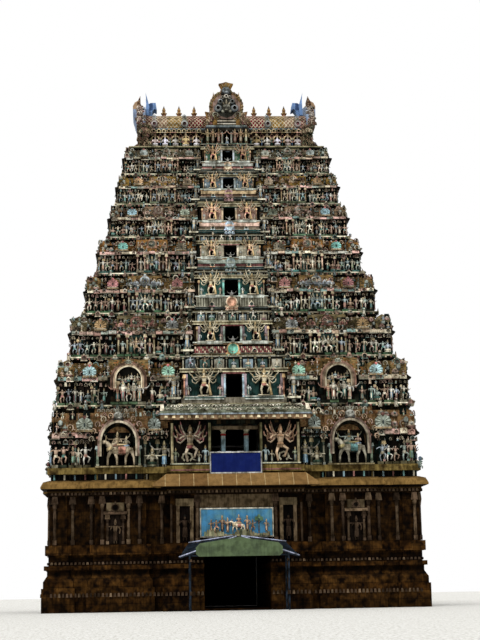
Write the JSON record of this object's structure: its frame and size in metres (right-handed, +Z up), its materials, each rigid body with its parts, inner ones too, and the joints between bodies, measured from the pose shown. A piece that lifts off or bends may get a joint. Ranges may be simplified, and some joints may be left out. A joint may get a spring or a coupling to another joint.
{
  "type": "half-scale temple gateway tower",
  "caption": "Tall oblong temple gateway tower, its storeys stepping in to a barrel-vaulted roof with horned end gables, at half of real size.",
  "frame": {"origin": "ground level at the middle of the tower's plan, under the threshold of the gateway passage", "axes": "+Z up, +X to the right as seen from in front, +Y from the front face to the back, along the passage"},
  "size_m": [16.2, 13.04, 23.456],
  "materials": {
    "granite": "rough grey-brown stone, soot-stained",
    "painted_plaster": "weathered painted lime plaster",
    "cream_paint": "matt cream paint on plaster",
    "shrine_paint": "matt many-coloured paint on plaster",
    "roof_paint": "matt crimson and cream paint on plaster",
    "horn_paint": "matt blue paint on plaster",
    "gilt": "dull gilt on copper",
    "relief_paint": "painted relief on a sky-blue ground",
    "notice_paint": "blue enamel with a white border",
    "canopy_paint": "blue-grey sheet steel",
    "board_paint": "matt green paint"
  },
  "bodies": {
    "root": {"plinth_left": "granite", "base_wall_left": "granite", "plinth_right": "granite", "base_wall_right": "granite", "gateway_threshold": "granite", "gateway_lintel": "granite", "base_cornice": "granite", "tala_1_floor": "cream_paint", "tala_1_walls": "painted_plaster", "tala_1_parapet": "shrine_paint", "tala_2_floor": "cream_paint", "tala_2_walls": "painted_plaster", "tala_2_parapet": "shrine_paint", "tala_3_floor": "cream_paint", "tala_3_walls": "painted_plaster", "tala_3_parapet": "shrine_paint", "tala_4_floor": "cream_paint", "tala_4_walls": "painted_plaster", "tala_4_parapet": "shrine_paint", "tala_5_floor": "cream_paint", "tala_5_walls": "painted_plaster", "tala_5_parapet": "shrine_paint", "tala_6_floor": "cream_paint", "tala_6_walls": "painted_plaster", "tala_6_parapet": "shrine_paint", "tala_7_floor": "cream_paint", "tala_7_walls": "painted_plaster", "tala_7_parapet": "shrine_paint", "tala_8_floor": "cream_paint", "tala_8_walls": "painted_plaster", "tala_8_parapet": "shrine_paint", "neck_floor": "cream_paint", "gateway_eave_front": "granite", "tala_1_columns_front": "shrine_paint", "tala_1_eave_front": "cream_paint", "roof_gable_front": "roof_paint", "gateway_eave_back": "granite", "tala_1_columns_back": "shrine_paint", "tala_1_eave_back": "cream_paint", "roof_gable_back": "roof_paint", "neck_walls": "painted_plaster", "roof_cornice": "cream_paint", "roof_vault": "roof_paint", "end_gable_left": "horn_paint", "end_gable_right": "horn_paint", "finial_1": "gilt", "finial_2": "gilt", "finial_3": "gilt", "finial_4": "gilt", "finial_5": "gilt", "finial_6": "gilt", "finial_7": "gilt", "relief_panel": "relief_paint", "notice_board": "notice_paint", "entrance_canopy": "canopy_paint", "canopy_board": "board_paint"}
  },
  "joints": []
}
